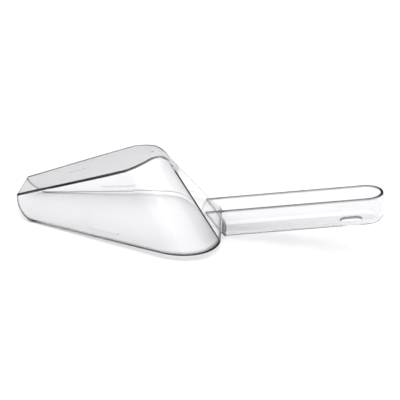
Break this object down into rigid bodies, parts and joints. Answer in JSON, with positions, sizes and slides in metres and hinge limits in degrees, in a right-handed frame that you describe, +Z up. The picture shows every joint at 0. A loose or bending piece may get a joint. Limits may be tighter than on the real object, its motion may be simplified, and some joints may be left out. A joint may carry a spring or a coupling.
{
  "type": "ice scoop",
  "caption": "Clear plastic ice scoop: a pan that widens from an open mouth to a slanted back, with a channel handle that has a round end and a hang slot.",
  "frame": {"origin": "centre of the bounding box's base: the surface that the upside-down scoop lies on", "axes": "+X from the mouth to the end of the handle, +Y across, +Z up, away from the pan's rim and towards its floor"},
  "size_m": [0.2424, 0.1026, 0.0506],
  "materials": {
    "clear_pan": "clear, polished",
    "clear_handle": "clear, polished"
  },
  "bodies": {
    "root": {"pan": "clear_pan", "handle": "clear_handle"}
  },
  "joints": []
}
